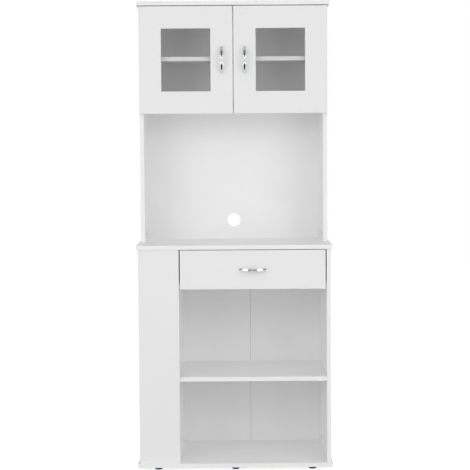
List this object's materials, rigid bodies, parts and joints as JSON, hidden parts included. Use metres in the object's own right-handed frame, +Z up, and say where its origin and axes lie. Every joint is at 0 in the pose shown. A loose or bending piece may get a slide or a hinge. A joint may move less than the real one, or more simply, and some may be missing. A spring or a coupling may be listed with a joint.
{
  "type": "microwave cabinet",
  "caption": "Tall white kitchen cabinet: glazed cupboard over an open microwave niche, drawer and open bays below, side shelves behind a plain panel.",
  "frame": {"origin": "on the floor, below the middle of the cabinet's bounding box", "axes": "+Z up, the front with the doors and drawer faces -Y, +X to the right of someone looking at the front"},
  "size_m": [0.695, 0.413, 1.675],
  "materials": {
    "white_board": "white melamine-faced chipboard, satin",
    "white_door": "white foil-wrapped fibreboard, satin",
    "white_hardboard": "white lacquered hardboard, satin",
    "dowel_wood": "plain beech",
    "zinc_steel": "zinc-plated steel",
    "nickel_steel": "nickel-plated pressed steel",
    "chrome": "polished chrome plate",
    "white_steel": "white epoxy-coated sheet steel",
    "white_nylon": "white nylon",
    "black_plastic": "black plastic",
    "clear_buffer": "soft translucent rubber",
    "white_bead": "white soft plastic",
    "clear_glass": "clear float glass"
  },
  "bodies": {
    "carcass": {"bottom_board": "white_board", "right_side": "white_board", "partition": "white_board", "column_front": "white_board", "column_rear": "white_board", "side_shelves": "white_board", "mid_shelf": "white_board", "counter": "white_board", "base_back_left": "white_hardboard", "base_back_right": "white_hardboard", "hutch_left_side": "white_board", "hutch_right_side": "white_board", "cupboard_floor": "white_board", "upper_shelf": "white_board", "shelf_pins": "zinc_steel", "top_board": "white_board", "hutch_back": "white_hardboard", "glide_feet": "black_plastic", "cam_locks": "zinc_steel", "cam_bolts": "zinc_steel", "dowels": "dowel_wood", "left_channel": "white_steel", "right_channel": "white_steel", "wood_screws": "zinc_steel", "hinge_plates": "nickel_steel", "hinge_arms": "nickel_steel", "arm_screws": "zinc_steel", "door_buffers": "clear_buffer"},
    "left_links": {"left_hinge_links": "nickel_steel"},
    "right_links": {"right_hinge_links": "nickel_steel"},
    "left_door": {"left_door": "white_door", "left_glass": "clear_glass", "left_glass_bead": "white_bead", "left_handle": "chrome", "left_handle_screws": "zinc_steel", "left_hinge_cups": "nickel_steel", "left_cup_screws": "zinc_steel"},
    "right_door": {"right_door": "white_door", "right_glass": "clear_glass", "right_glass_bead": "white_bead", "right_handle": "chrome", "right_handle_screws": "zinc_steel", "right_hinge_cups": "nickel_steel", "right_cup_screws": "zinc_steel"},
    "drawer": {"drawer_front": "white_board", "drawer_left_side": "white_board", "drawer_right_side": "white_board", "drawer_back": "white_board", "drawer_bottom": "white_hardboard", "drawer_handle": "chrome", "drawer_handle_screws": "zinc_steel", "drawer_cams": "zinc_steel", "drawer_bolts": "zinc_steel", "drawer_screws": "zinc_steel", "left_rail": "white_steel", "right_rail": "white_steel"},
    "left_front_wheel": {"left_front_roller": "white_nylon"},
    "right_front_wheel": {"right_front_roller": "white_nylon"},
    "left_rear_wheel": {"left_rear_roller": "white_nylon"},
    "right_rear_wheel": {"right_rear_roller": "white_nylon"}
  },
  "joints": [
    {"name": "left_hinge_link_turn", "type": "hinge", "parent": "carcass", "child": "left_links", "pos_m": [-0.316, 0.00695, 1.464], "axis": [0, 0, 1], "range_deg": [0, 47.5]},
    {"name": "left_door_swing", "type": "hinge", "parent": "left_links", "child": "left_door", "pos_m": [-0.3302, -0.00268, 1.464], "axis": [0, 0, -1], "range_deg": [0, 152.35]},
    {"name": "right_hinge_link_turn", "type": "hinge", "parent": "carcass", "child": "right_links", "pos_m": [0.316, 0.00695, 1.464], "axis": [0, 0, -1], "range_deg": [0, 47.5]},
    {"name": "right_door_swing", "type": "hinge", "parent": "right_links", "child": "right_door", "pos_m": [0.3302, -0.00268, 1.464], "axis": [0, 0, 1], "range_deg": [0, 152.35]},
    {"name": "drawer_slide", "type": "slide", "parent": "carcass", "child": "drawer", "axis": [0, -1, 0], "range_m": [0, 0.29]},
    {"name": "left_front_roller_spin", "type": "hinge", "parent": "carcass", "child": "left_front_wheel", "pos_m": [-0.1899, -0.1525, 0.6735], "axis": [1, 0, 0], "range_deg": [0, 1750]},
    {"name": "left_rear_roller_spin", "type": "hinge", "parent": "drawer", "child": "left_rear_wheel", "pos_m": [-0.1899, 0.1715, 0.6735], "axis": [1, 0, 0], "range_deg": [0, 2158]},
    {"name": "right_front_roller_spin", "type": "hinge", "parent": "carcass", "child": "right_front_wheel", "pos_m": [0.3184, -0.1525, 0.6735], "axis": [1, 0, 0], "range_deg": [0, 1750]},
    {"name": "right_rear_roller_spin", "type": "hinge", "parent": "drawer", "child": "right_rear_wheel", "pos_m": [0.3184, 0.1715, 0.6735], "axis": [1, 0, 0], "range_deg": [0, 2158]}
  ],
  "couplings": [
    {"joint": "left_hinge_link_turn", "follows": "left_door_swing", "ratio": 0.31082},
    {"joint": "right_hinge_link_turn", "follows": "right_door_swing", "ratio": 0.31082},
    {"joint": "left_front_roller_spin", "follows": "drawer_slide", "rad_per_m": 105.26},
    {"joint": "left_rear_roller_spin", "follows": "drawer_slide", "rad_per_m": 129.87},
    {"joint": "right_front_roller_spin", "follows": "drawer_slide", "rad_per_m": 105.26},
    {"joint": "right_rear_roller_spin", "follows": "drawer_slide", "rad_per_m": 129.87}
  ]
}
